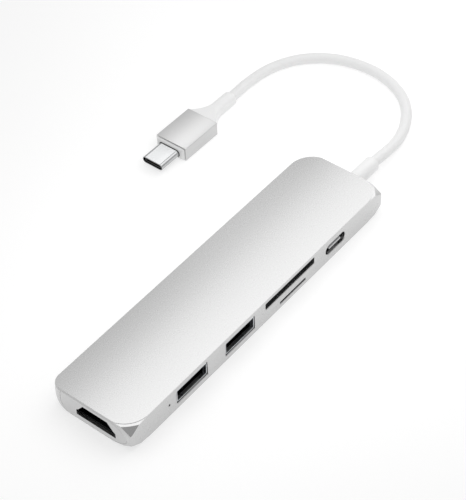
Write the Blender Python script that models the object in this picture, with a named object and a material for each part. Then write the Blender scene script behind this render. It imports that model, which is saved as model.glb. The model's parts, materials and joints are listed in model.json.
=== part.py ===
"""A slim USB hub: an aluminium body with a captive USB-C cable, as separate named pieces.

Frame: metres, +Z up. The origin is the middle of the body's underside. +X runs along the body from the
HDMI end to the cable end, and -Y is the side that carries the ports.
"""
import math

import bmesh
import bpy
from mathutils import Vector

MM = 0.001
GAP = 0.3 * MM                     # clearance kept between neighbouring pieces

# ---- the body
BODY_LENGTH = 124.4 * MM
BODY_WIDTH = 30.5 * MM
BODY_HEIGHT = 9.2 * MM
HALF_LENGTH = BODY_LENGTH / 2
HALF_WIDTH = BODY_WIDTH / 2
MID_HEIGHT = BODY_HEIGHT / 2
SIDE_WALL = 1.2 * MM
ROOF = 1.0 * MM
END_WALL = 3.2 * MM

# ---- corners, as distances from the square corner. At the port side the upright edge is round, and a facet
# cuts each corner off above and below: it starts at a point and widens to its edge, close under the top face.
CORNER_RADIUS = 8.5 * MM           # of the top and bottom outlines, at the port side
UPRIGHT_RADIUS = 1.3 * MM
FACET_POINT, FACET_EDGE = 2.15 * MM, 4.4 * MM      # heights from the middle
FACET_START, FACET_REACH = 0.75 * MM, 4.7 * MM
FACET_BULGE = 0.1                  # the bow of the facet's wide edge, as a part of its reach
# At the back the corners are upright: the radius half-way up and at the top, and how much further the
# underside reaches in along X and along Y. The end away from the cable is the squarer one.
BACK_CORNERS = {-1: (3.2 * MM, 4.0 * MM, 1.2 * MM, 6.0 * MM), 1: (7.5 * MM, 8.5 * MM, 1.0 * MM, 2.0 * MM)}
END_TIP, END_REACH = 0.8 * MM, 7.6 * MM            # the lens-shaped side of the end plates
CORNER_STEPS = 6

# ---- lid and end plates
LID_THICKNESS = 0.9 * MM
LID_SEAT = 1.1 * MM
LID_INSET = 2.2 * MM
LID_RADIUS = 6.5 * MM
PLATE_DEPTH = 1.0 * MM
PLATE_RIM = 0.4 * MM
PLATE_GAP = 0.15 * MM

# ---- circuit board
PCB_BOTTOM = 3.2 * MM
PCB_TOP = 4.0 * MM
PCB_INSET_X = 3.6 * MM
PCB_INSET_Y = 1.6 * MM
PCB_RADIUS = 5.5 * MM

# ---- ports: X of each centre, and the cut-outs in the port-side wall
LED_X = -45.0 * MM
LED_Z = 4.6 * MM
LED_HOLE = 0.8 * MM
USB_A_X = (-34.5 * MM, -12.0 * MM)
USB_A_Z = 4.65 * MM
USB_A_CUT = (14.2 * MM, 5.4 * MM)
USB_A_SHELL = (13.1 * MM, 5.7 * MM, 14.0 * MM)
SHEET = 0.3 * MM
SD_X = 12.8 * MM
SD_Z = 6.37 * MM
SD_CUT = (24.8 * MM, 2.6 * MM)
MICRO_X = 14.05 * MM
MICRO_Z = 2.05 * MM
MICRO_CUT = (13.1 * MM, 0.95 * MM)
USB_C_X = 36.3 * MM
USB_C_Z = 4.7 * MM
USB_C_CUT = (10.3 * MM, 3.9 * MM)
USB_C_SHELL = (9.0 * MM, 3.2 * MM, 7.5 * MM)
SOCKET_FRONT = -HALF_WIDTH + SIDE_WALL + GAP         # where every port-side socket begins

# ---- the HDMI socket in the end at -X
HDMI_Y = -2.05 * MM
HDMI_BOTTOM = 2.4 * MM
HDMI_CUT = (15.0 * MM, 5.2 * MM)
HDMI_SHELL = (15.0 * MM, 5.5 * MM, 11.0 * MM)
HDMI_SHELL_BOTTOM = 2.3 * MM

# ---- cable, collar and plug
CABLE_Y = -3.15 * MM
CABLE_Z = 4.6 * MM
CORD_RADIUS = 1.9 * MM
COLLAR_RADIUS = 2.75 * MM
COLLAR_LENGTH = 12.0 * MM
PLUG_Y = 57.0 * MM
PLUG_HEIGHT = 5.4 * MM
PLUG_Z = PLUG_HEIGHT / 2
PLUG_WIDTH = 12.85 * MM
PLUG_FRONT = 41.75 * MM
PLUG_BACK = 58.6 * MM
PLUG_WALL = 0.7 * MM
NOSE = 1.0 * MM
PLUG_SHELL = (8.65 * MM, 2.6 * MM, 12.7 * MM)
PLUG_SHELL_TIP = 31.9 * MM
BOOT_FLARE = 7.6 * MM
BOOT_END = 74.3 * MM

# The cable's route from the hub's collar to the plug's boot: straight out, down to the surface,
# round in one open loop, and up a little to the plug.
ROUTE = [(x * MM, y * MM, z * MM) for x, y, z in (
    (74.6, -3.15, 4.6), (78.3, -3.2, 4.3), (82.4, -3.05, 3.65), (86.4, -2.7, 3.0), (90.4, -2.05, 2.4),
    (94.3, -0.95, 2.05), (98.3, 0.5, 1.92), (104.7, 4.2, 1.91), (110.5, 10.1, 1.91), (114.5, 18.25, 1.91),
    (116.0, 27.35, 1.91), (114.7, 37.15, 1.91), (110.6, 45.6, 1.91), (103.7, 52.4, 1.91), (94.8, 56.4, 1.92),
    (85.0, 57.6, 2.05), (79.4, 57.4, 2.35), (74.6, 57.0, 2.7))]
CORD_STEP = 2.4 * CORD_RADIUS      # spacing of the points along the cable


# ---- materials
def material(name, colour, roughness, metallic=0.0):
    """A Principled material; one of the same name is shared."""
    if name in bpy.data.materials:
        return bpy.data.materials[name]
    made = bpy.data.materials.new(name)
    made.use_nodes = True
    shader = made.node_tree.nodes["Principled BSDF"]
    shader.inputs["Base Color"].default_value = (*colour, 1.0)
    shader.inputs["Roughness"].default_value = roughness
    shader.inputs["Metallic"].default_value = metallic
    return made


ALUMINIUM = ("bead_blasted_aluminium", (0.78, 0.78, 0.78), 0.42, 1.0)
STEEL = ("bright_steel", (0.72, 0.73, 0.74), 0.25, 1.0)
BLACK = ("black_plastic", (0.015, 0.016, 0.018), 0.45)
GREY = ("grey_plastic", (0.45, 0.45, 0.45), 0.5)
WHITE = ("white_cable", (0.88, 0.88, 0.88), 0.45)
BOARD = ("circuit_board", (0.01, 0.02, 0.03), 0.4)
CHIP = ("chip_package", (0.02, 0.02, 0.022), 0.55)
PAD = ("thermal_pad", (0.35, 0.45, 0.6), 0.8)
CLEAR = ("light_pipe", (0.85, 0.88, 0.9), 0.15)


# ---- outlines, as lists of two coordinates, anticlockwise
def arc(centre, radius, start, end, steps):
    """Points on a circle, both ends included; angles in degrees."""
    return [(centre[0] + radius * math.cos(math.radians(start + (end - start) * i / steps)),
             centre[1] + radius * math.sin(math.radians(start + (end - start) * i / steps)))
            for i in range(steps + 1)]


def round_rectangle(centre, width, height, radius, steps=4):
    """A rectangle with round corners; a radius of half the height makes a stadium."""
    a, b = centre
    dx, dy = width / 2 - radius, height / 2 - radius
    outline = []
    for sign_x, sign_y, start in ((1, 1, 0), (-1, 1, 90), (-1, -1, 180), (1, -1, 270)):
        outline += arc((a + sign_x * dx, b + sign_y * dy), radius, start, start + 90, steps)
    return [p for i, p in enumerate(outline) if math.dist(p, outline[i - 1]) > 1e-7]


def rectangle(centre, width, height):
    a, b = centre
    return [(a + sx * width / 2, b + sy * height / 2) for sx, sy in ((1, 1), (-1, 1), (-1, -1), (1, -1))]


# ---- solids
def mesh_object(name, vertices, faces, finish):
    """One named object from vertices and faces, with its normals pointing out."""
    mesh = bpy.data.meshes.new(name)
    mesh.from_pydata([Vector(v) for v in vertices], [], faces)
    work = bmesh.new()
    work.from_mesh(mesh)
    bmesh.ops.recalc_face_normals(work, faces=work.faces)
    work.to_mesh(mesh)
    work.free()
    mesh.materials.append(material(*finish))
    mesh.shade_smooth()
    mesh.set_sharp_from_angle(angle=math.radians(28))
    made = bpy.data.objects.new(name, mesh)
    bpy.context.scene.collection.objects.link(made)
    return made


def lofted(name, rings, finish):
    """A closed solid through rings of the same number of points, with a flat cap at each end."""
    count = len(rings[0])
    vertices = [v for ring in rings for v in ring]
    faces = [[count * r + i, count * r + (i + 1) % count, count * (r + 1) + (i + 1) % count, count * (r + 1) + i]
             for r in range(len(rings) - 1) for i in range(count)]
    faces.append(list(range(count))[::-1])
    faces.append(list(range(count * (len(rings) - 1), count * len(rings))))
    return mesh_object(name, vertices, faces, finish)


PLACE = {"X": lambda along, a, b: (along, a, b),
         "Y": lambda along, a, b: (a, along, b),
         "Z": lambda along, a, b: (a, b, along)}


def extruded(name, outline, start, end, axis, finish):
    """An outline pushed along an axis from start to end."""
    place = PLACE[axis]
    return lofted(name, [[place(along, a, b) for a, b in outline] for along in (start, end)], finish)


def box(name, low, high, finish):
    low, high = [Vector(corner) for corner in (low, high)]
    middle = (low + high) / 2
    size = high - low
    return extruded(name, rectangle(middle[:2], size.x, size.y), low.z, high.z, "Z", finish)


def turned(name, profile, axis_y, axis_z, finish, steps=24):
    """A solid of revolution about a line along X; the profile is (x, radius) pairs."""
    rings = [[(x, axis_y + r * math.cos(2 * math.pi * i / steps), axis_z + r * math.sin(2 * math.pi * i / steps))
              for i in range(steps)] for x, r in profile]
    return lofted(name, rings, finish)


def boolean(target, tool, operation):
    """Cut a tool out of a target, or join it on, and keep the tool out of the model."""
    modifier = target.modifiers.new(tool.name, "BOOLEAN")
    modifier.operation = operation
    modifier.object = tool
    modifier.solver = "EXACT"
    tool.hide_render = True
    tool.display_type = "WIRE"


def cut(target, tool):
    boolean(target, tool, "DIFFERENCE")


def tube(name, outer, inner, start, end, axis, finish, floor=None):
    """An extruded ring; with a floor, its hollow stops short of the end by that thickness."""
    made = extruded(name, outer, start, end, axis, finish)
    margin = math.copysign(MM, end - start)
    inner_end = end + margin if floor is None else end - math.copysign(floor, end - start)
    cut(made, extruded(name + "_hollow", inner, start - margin, inner_end, axis, finish))
    return made


# ---- the body
def rise(z):
    """How far a height is from the middle, on a curve that is flat in the middle and steep at the end."""
    return 1 - math.sqrt(max(0.0, 1 - ((z - MID_HEIGHT) / MID_HEIGHT) ** 2))


def back_radii(z, end):
    middle, top, low_x, low_y = BACK_CORNERS[end]
    if z >= MID_HEIGHT:
        return [middle + (top - middle) * rise(z)] * 2
    return [middle + low_x * rise(z), middle + low_y * rise(z)]


def back_corner(z, end):
    """A back corner from the long side round to the end, as distances (along X, along Y) from the square one."""
    radius_x, radius_y = back_radii(z, end)
    return [(radius_x * (1 - a), radius_y * (1 - b)) for a, b in arc((0, 0), 1, 90, 0, CORNER_STEPS)]


def port_side_corner(z):
    """A port-side corner in the same terms: the round edge, or the facet where that cuts deeper."""
    height = abs(z - MID_HEIGHT)
    if height > FACET_EDGE:
        return [(CORNER_RADIUS * (1 - a), CORNER_RADIUS * (1 - b))
                for a, b in arc((0, 0), 1, 90, 0, CORNER_STEPS)]
    part = (height - FACET_POINT) / (FACET_EDGE - FACET_POINT)
    reach = FACET_START + (FACET_REACH - FACET_START) * part

    def inside(x, y):
        radius = UPRIGHT_RADIUS
        if x < 0 or y < 0 or (x < radius and y < radius and math.hypot(x - radius, y - radius) > radius):
            return False
        bow = 4 * FACET_BULGE * part * x * y / max(x + y, 1e-9) ** 2
        return part <= 0 or (x + y) / reach >= 1 - bow

    end = max(UPRIGHT_RADIUS, reach)
    points = []
    for i in range(CORNER_STEPS + 1):
        x, y = end * (1 - i / CORNER_STEPS), end * i / CORNER_STEPS
        low, high = 0.0, min(x, y)
        for _ in range(24):
            middle = (low + high) / 2
            if inside(x - middle, y - middle):
                low = middle
            else:
                high = middle
        points.append((x - low, y - low))
    return points


def body_ring(z):
    """The body's outline at one height."""
    ring = []
    for sign_x, sign_y in ((-1, -1), (1, -1), (1, 1), (-1, 1)):
        corner = port_side_corner(z) if sign_y < 0 else back_corner(z, sign_x)
        points = [(sign_x * (HALF_LENGTH - a), sign_y * (HALF_WIDTH - b), z) for a, b in corner]
        ring += points if sign_x * sign_y < 0 else points[::-1]
    return ring


def body_rings():
    heights = [0, FACET_POINT, (FACET_POINT + FACET_EDGE) / 2, FACET_EDGE, MID_HEIGHT]
    return [body_ring(MID_HEIGHT + height) for height in [-h for h in heights[:0:-1]] + heights]


def end_outline(inset, end, steps=8):
    """The outline of an end face, set in from its edge: a lens at the port side, and upright at the back."""
    half_height = MID_HEIGHT - inset
    outline = []
    for i in range(steps + 1):
        angle = math.pi * (i / steps - 0.5)
        z = MID_HEIGHT + half_height * math.sin(angle)
        outline.append((HALF_WIDTH - back_radii(z, end)[1] - inset, z))
    for i in range(steps + 1):
        angle = math.pi * (0.5 - i / steps)
        outline.append((-(HALF_WIDTH - END_TIP - inset - END_REACH * (1 - math.cos(angle))),
                        MID_HEIGHT + half_height * math.sin(angle)))
    return outline


def hdmi_outline(centre, bottom, width, height):
    """The HDMI outline: wide at the bottom, with shoulders that slope in to the top."""
    half = width / 2
    right = [(half, 0), (half, 0.38 * height), (0.89 * half, 0.5 * height), (0.76 * half, 0.74 * height),
             (0.62 * half, height)]
    return [(centre + a, bottom + b) for a, b in right + [(-a, b) for a, b in right[::-1]]]


BOSSES = ((-23.05 * MM, -9.3 * MM), (-37.5 * MM, 10.6 * MM), (30.0 * MM, 10.6 * MM), (51.0 * MM, -9.3 * MM))
BOSS_RADIUS = 1.6 * MM
SCREW_RADIUS = 0.6 * MM


def top_shell():
    """The body: a block with facets, hollowed from below, with the ports cut through its walls."""
    shell = lofted("top_shell", body_rings(), ALUMINIUM)
    ceiling = BODY_HEIGHT - ROOF
    cavity = round_rectangle((0, 0), BODY_LENGTH - 2 * END_WALL, BODY_WIDTH - 2 * SIDE_WALL, 6 * MM)
    cut(shell, extruded("cavity", cavity, -MM, ceiling, "Z", ALUMINIUM))
    seat = round_rectangle((0, 0), BODY_LENGTH - 2 * LID_INSET, BODY_WIDTH - 2 * SIDE_WALL, LID_RADIUS)
    cut(shell, extruded("lid_seat", seat, -MM, LID_SEAT, "Z", ALUMINIUM))
    for sign in (-1, 1):
        cut(shell, extruded(f"plate_seat_{sign}", end_outline(PLATE_RIM, sign), sign * (HALF_LENGTH + MM),
                            sign * (HALF_LENGTH - PLATE_DEPTH), "X", ALUMINIUM))
    window = rectangle((HDMI_Y, HDMI_SHELL_BOTTOM + HDMI_SHELL[1] / 2), HDMI_SHELL[0] + 2 * GAP,
                       HDMI_SHELL[1] + 2 * GAP)
    cut(shell, extruded("hdmi_window", window, -HALF_LENGTH, -HALF_LENGTH + END_WALL + MM, "X", ALUMINIUM))
    cut(shell, extruded("cable_window", arc((CABLE_Y, CABLE_Z), 2.6 * MM, 0, 345, 23), HALF_LENGTH,
                        HALF_LENGTH - END_WALL - MM, "X", ALUMINIUM))
    outlines = [round_rectangle((x, USB_A_Z), *USB_A_CUT, 0.3 * MM, 2) for x in USB_A_X]
    outlines.append(round_rectangle((SD_X, SD_Z), *SD_CUT, 0.3 * MM, 2))
    outlines.append(round_rectangle((MICRO_X, MICRO_Z), *MICRO_CUT, 0.25 * MM, 2))
    outlines.append(round_rectangle((USB_C_X, USB_C_Z), *USB_C_CUT, 0.98 * USB_C_CUT[1] / 2, 6))
    outlines.append(arc((LED_X, LED_Z), LED_HOLE / 2, 0, 330, 11))
    for number, outline in enumerate(outlines):
        cut(shell, extruded(f"port_cut_{number}", outline, -HALF_WIDTH - MM, -HALF_WIDTH + SIDE_WALL + 0.2 * MM,
                            "Y", ALUMINIUM))
    for number, (x, y) in enumerate(BOSSES):
        boss = extruded(f"boss_{number}", arc((x, y), BOSS_RADIUS, 0, 337.5, 15), PCB_TOP + GAP,
                        ceiling + ROOF / 2, "Z", ALUMINIUM)
        boolean(shell, boss, "UNION")
        cut(shell, extruded(f"boss_hole_{number}", arc((x, y), SCREW_RADIUS + GAP, 0, 330, 11),
                            PCB_TOP - MM, ceiling, "Z", ALUMINIUM))


def lid_and_plates():
    outline = round_rectangle((0, 0), BODY_LENGTH - 2 * LID_INSET - 2 * PLATE_GAP,
                              BODY_WIDTH - 2 * SIDE_WALL - 2 * PLATE_GAP, LID_RADIUS - PLATE_GAP)
    extruded("bottom_lid", outline, 0, LID_THICKNESS, "Z", ALUMINIUM)
    inner = HALF_LENGTH - PLATE_DEPTH + PLATE_GAP
    inset = PLATE_RIM + PLATE_GAP
    hdmi_plate = extruded("end_plate_hdmi", end_outline(inset, -1), -HALF_LENGTH, -inner, "X", ALUMINIUM)
    cut(hdmi_plate, extruded("hdmi_hole", hdmi_outline(HDMI_Y, HDMI_BOTTOM, *HDMI_CUT), -HALF_LENGTH - MM,
                             -inner + MM, "X", ALUMINIUM))
    cable_plate = extruded("end_plate_cable", end_outline(inset, 1), inner, HALF_LENGTH, "X", ALUMINIUM)
    cut(cable_plate, extruded("cable_hole", arc((CABLE_Y, CABLE_Z), 2.5 * MM, 0, 345, 23), inner - MM,
                              HALF_LENGTH + MM, "X", ALUMINIUM))


# ---- board and chips
def main_pcb():
    """The board, notched for the sockets that sink into it and for the cable's inner flange."""
    outline = round_rectangle((0, 0), BODY_LENGTH - 2 * PCB_INSET_X, BODY_WIDTH - 2 * PCB_INSET_Y, PCB_RADIUS)
    board = extruded("main_pcb", outline, PCB_BOTTOM, PCB_TOP, "Z", BOARD)
    front = -HALF_WIDTH
    notches = [(x - USB_A_SHELL[0] / 2, x + USB_A_SHELL[0] / 2, front, SOCKET_FRONT + USB_A_SHELL[2])
               for x in USB_A_X]
    notches.append((USB_C_X - USB_C_SHELL[0] / 2, USB_C_X + USB_C_SHELL[0] / 2, front,
                    SOCKET_FRONT + USB_C_SHELL[2]))
    notches.append((-HALF_LENGTH, -HALF_LENGTH + PLATE_DEPTH + GAP + HDMI_SHELL[2],
                    HDMI_Y - HDMI_SHELL[0] / 2, HDMI_Y + HDMI_SHELL[0] / 2))
    notches.append((HALF_LENGTH - END_WALL - 2.1 * MM, HALF_LENGTH, CABLE_Y - 3.3 * MM, CABLE_Y + 3.3 * MM))
    for number, (x0, x1, y0, y1) in enumerate(notches):
        cut(board, box(f"notch_{number}", (x0 - GAP, y0 - GAP, PCB_BOTTOM - MM),
                       (x1 + GAP, y1 + GAP, PCB_TOP + MM), BOARD))
    for number, (x, y) in enumerate(BOSSES):
        cut(board, extruded(f"screw_hole_{number}", arc((x, y), SCREW_RADIUS + GAP, 0, 330, 11),
                            PCB_BOTTOM - MM, PCB_TOP + MM, "Z", BOARD))


def screws():
    """Pan-head screws that go up through the board into the body's posts."""
    for number, (x, y) in enumerate(BOSSES, 1):
        levels = ((PCB_BOTTOM - 1.1 * MM, 1.1 * MM), (PCB_BOTTOM - GAP, 1.1 * MM),
                  (PCB_BOTTOM - GAP, SCREW_RADIUS), (PCB_TOP + 2.6 * MM, SCREW_RADIUS))
        rings = [[(x + r * math.cos(math.tau * i / 12), y + r * math.sin(math.tau * i / 12), z)
                  for i in range(12)] for z, r in levels]
        lofted(f"pcb_screw_{number}", rings, STEEL)


def chips():
    """What stands on the board: packages as low blocks, each a little above its solder."""
    base = PCB_TOP + GAP
    for name, x, y, length, width, height, finish in (
            ("hub_controller_chip", -22.0, 8.2, 7.0, 7.0, 0.9, CHIP),
            ("video_converter_chip", -44.6, 5.4, 8.0, 8.0, 0.9, CHIP),
            ("power_delivery_chip", 36.5, 3.5, 5.0, 5.0, 0.9, CHIP),
            ("card_reader_chip", -5.0, 9.2, 5.0, 5.0, 0.8, CHIP),
            ("crystal_oscillator", -13.5, 10.5, 3.2, 2.5, 0.8, STEEL),
            ("power_inductor_1", 45.5, 4.0, 4.2, 4.2, 2.0, GREY),
            ("power_inductor_2", 45.5, 9.5, 4.2, 4.2, 2.0, GREY),
            ("bulk_capacitor", 37.0, 10.2, 3.5, 2.8, 1.9, BLACK),
            ("power_led", -45.0, -9.0, 1.6, 1.0, 0.8, WHITE)):
        low = (x * MM - length * MM / 2, y * MM - width * MM / 2, base)
        high = (x * MM + length * MM / 2, y * MM + width * MM / 2, base + height * MM)
        box(name, low, high, finish)
    box("thermal_pad", (-49.1 * MM, 0.9 * MM, base + 1.2 * MM),
        (-40.1 * MM, 9.9 * MM, BODY_HEIGHT - ROOF - GAP), PAD)
    extruded("led_light_pipe", arc((LED_X, LED_Z), 0.5 * MM, 0, 330, 11), SOCKET_FRONT,
             -9.5 * MM - GAP, "Y", CLEAR)


# ---- sockets
def usb_a_socket(number, x):
    """A shell open to the front, with a base block and a tongue that reaches towards the mouth."""
    width, height, depth = USB_A_SHELL
    outer = round_rectangle((x, USB_A_Z), width, height, 0.5 * MM, 2)
    inner = round_rectangle((x, USB_A_Z), width - 2 * SHEET, height - 2 * SHEET, 0.25 * MM, 2)
    back = SOCKET_FRONT + depth
    tube(f"usb_a_shell_{number}", outer, inner, SOCKET_FRONT, back, "Y", STEEL, floor=SHEET)
    top = USB_A_Z + height / 2 - SHEET
    tongue_top = top - 0.7 * MM
    tongue = box(f"usb_a_tongue_{number}", (x - 5.6 * MM, SOCKET_FRONT + 1.4 * MM, tongue_top - 1.8 * MM),
                 (x + 5.6 * MM, back - 2 * MM, tongue_top), BLACK)
    base = box(f"usb_a_base_{number}", (x - 5.9 * MM, back - 3.5 * MM, USB_A_Z - height / 2 + SHEET + GAP),
               (x + 5.9 * MM, back - SHEET - GAP, top - GAP), BLACK)
    boolean(tongue, base, "UNION")


def usb_c_socket():
    width, height, depth = USB_C_SHELL
    outer = round_rectangle((USB_C_X, USB_C_Z), width, height, 0.98 * height / 2, 6)
    inner = round_rectangle((USB_C_X, USB_C_Z), width - 2 * SHEET, height - 2 * SHEET,
                            0.98 * (height / 2 - SHEET), 6)
    back = SOCKET_FRONT + depth
    tube("usb_c_shell", outer, inner, SOCKET_FRONT, back, "Y", STEEL, floor=SHEET)
    tongue = box("usb_c_tongue", (USB_C_X - 3.35 * MM, SOCKET_FRONT + 0.6 * MM, USB_C_Z - 0.35 * MM),
                 (USB_C_X + 3.35 * MM, back - 1.0 * MM, USB_C_Z + 0.35 * MM), GREY)
    base = box("usb_c_base", (USB_C_X - 3.0 * MM, back - 2.0 * MM, USB_C_Z - 0.95 * MM),
               (USB_C_X + 3.0 * MM, back - SHEET - GAP, USB_C_Z + 0.95 * MM), GREY)
    boolean(tongue, base, "UNION")


def hdmi_socket():
    width, height, depth = HDMI_SHELL
    front = -HALF_LENGTH + PLATE_DEPTH + GAP
    back = front + depth
    outer = hdmi_outline(HDMI_Y, HDMI_SHELL_BOTTOM, width, height)
    inner = hdmi_outline(HDMI_Y, HDMI_SHELL_BOTTOM + SHEET, width - 2 * SHEET, height - 2 * SHEET)
    tube("hdmi_shell", outer, inner, front, back, "X", STEEL, floor=SHEET)
    middle = HDMI_SHELL_BOTTOM + 0.5 * height
    tongue = box("hdmi_tongue", (front + 1.2 * MM, HDMI_Y - 5.0 * MM, middle - 0.6 * MM),
                 (back - 2 * MM, HDMI_Y + 5.0 * MM, middle + 0.6 * MM), BLACK)
    base = box("hdmi_base", (back - 3.0 * MM, HDMI_Y - 5.2 * MM, HDMI_SHELL_BOTTOM + SHEET + GAP),
               (back - SHEET - GAP, HDMI_Y + 5.2 * MM, middle + 1.0 * MM), BLACK)
    boolean(tongue, base, "UNION")


SD_FRAME_WIDTH = 27.4 * MM
SD_CARD_WIDTH = 24.6 * MM
SD_DEPTH = 18.0 * MM
SD_FLOOR = 4.95 * MM


def sd_socket():
    """A tray on the board's upper face, with a sheet-metal cover over it."""
    back = SOCKET_FRONT + SD_DEPTH
    half = SD_FRAME_WIDTH / 2
    frame = box("sd_socket_frame", (SD_X - half, SOCKET_FRONT, PCB_TOP + GAP),
                (SD_X + half, back, 7.35 * MM), BLACK)
    cut(frame, box("sd_slot", (SD_X - SD_CARD_WIDTH / 2, SOCKET_FRONT - MM, SD_FLOOR),
                   (SD_X + SD_CARD_WIDTH / 2, back - 1.2 * MM, 9 * MM), BLACK))
    box("sd_socket_cover", (SD_X - half, SOCKET_FRONT, 7.65 * MM), (SD_X + half, back, 7.9 * MM), STEEL)


MICRO_FRAME_WIDTH = 15.4 * MM
MICRO_DEPTH = 15.5 * MM
MICRO_CEILING = 2.6 * MM
SLIDER_X = MICRO_X + 6.2 * MM
SLIDER_WIDTH = 1.3 * MM
SLIDER_FRONT = SOCKET_FRONT + 6.6 * MM
SLIDER_LENGTH = 3.6 * MM


def micro_sd_socket():
    """A tray under the board, open below, whose cover sheet faces the lid; the slider runs in its side."""
    back = SOCKET_FRONT + MICRO_DEPTH
    half = MICRO_FRAME_WIDTH / 2
    frame = box("micro_sd_frame", (MICRO_X - half, SOCKET_FRONT, 1.7 * MM),
                (MICRO_X + half, back, PCB_BOTTOM - GAP), BLACK)
    cut(frame, box("micro_slot", (MICRO_X - half + 0.7 * MM, SOCKET_FRONT - MM, MM),
                   (MICRO_X + half - 0.7 * MM, back - 1.0 * MM, MICRO_CEILING), BLACK))
    box("micro_sd_cover", (MICRO_X - half, SOCKET_FRONT, 1.2 * MM), (MICRO_X + half, back, 1.4 * MM), STEEL)
    box("micro_sd_slider", (SLIDER_X - SLIDER_WIDTH / 2, SLIDER_FRONT, 1.7 * MM),
        (SLIDER_X + SLIDER_WIDTH / 2, SLIDER_FRONT + SLIDER_LENGTH, 2.3 * MM), WHITE)
    extruded("micro_sd_spring", arc((SLIDER_X, 2.0 * MM), 0.3 * MM, 0, 315, 7),
             SLIDER_FRONT + SLIDER_LENGTH + 0.1 * MM, back - 1.0 * MM - 0.1 * MM, "Y", STEEL)


# ---- cable and plug
def hub_strain_relief():
    """A moulded collar outside, a neck through the end plate, and a flange that holds it inside."""
    inner = HALF_LENGTH - END_WALL - GAP
    outside = HALF_LENGTH + 0.15 * MM
    end = HALF_LENGTH + COLLAR_LENGTH
    profile = [(inner - 1.5 * MM, 3.2 * MM), (inner, 3.2 * MM), (inner, 2.25 * MM), (outside, 2.25 * MM),
               (outside, COLLAR_RADIUS)]
    profile += arc((end - MM, COLLAR_RADIUS - MM), MM, 90, 0, 4)
    turned("hub_strain_relief", profile, CABLE_Y, CABLE_Z, WHITE)
    box("cable_wire_bundle", (inner - 8.0 * MM, CABLE_Y - 2.4 * MM, PCB_TOP + GAP),
        (inner - 1.5 * MM - GAP, CABLE_Y + 2.4 * MM, PCB_TOP + 1.5 * MM), WHITE)


def smooth_route(points, step):
    """Evenly spaced points on a smooth curve through the given ones."""
    fine = []
    padded = [2 * Vector(points[0]) - Vector(points[1])] + [Vector(p) for p in points]
    padded.append(2 * padded[-1] - padded[-2])
    for a, b, c, d in zip(padded, padded[1:], padded[2:], padded[3:]):
        for i in range(24):
            t = i / 24
            fine.append(0.5 * (2 * b + (c - a) * t + (2 * a - 5 * b + 4 * c - d) * t ** 2
                               + (3 * b - a - 3 * c + d) * t ** 3))
    fine.append(padded[-2])
    lengths = [0.0]
    for a, b in zip(fine, fine[1:]):
        lengths.append(lengths[-1] + (b - a).length)
    count = round(lengths[-1] / step)
    route, place = [], 0
    for i in range(count + 1):
        wanted = lengths[-1] * i / count
        while place < len(fine) - 2 and lengths[place + 1] < wanted:
            place += 1
        part = (wanted - lengths[place]) / (lengths[place + 1] - lengths[place])
        route.append(fine[place].lerp(fine[place + 1], part))
    return route


def cord():
    curve = bpy.data.curves.new("cord", "CURVE")
    curve.dimensions = "3D"
    curve.bevel_depth = CORD_RADIUS
    curve.bevel_resolution = 2
    curve.use_fill_caps = True
    route = smooth_route(ROUTE, CORD_STEP)
    spline = curve.splines.new("POLY")
    spline.points.add(len(route) - 1)
    for point, place in zip(spline.points, route):
        point.co = (*place, 1.0)
    curve.materials.append(material(*WHITE))
    made = bpy.data.objects.new("cord", curve)
    bpy.context.scene.collection.objects.link(made)


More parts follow.
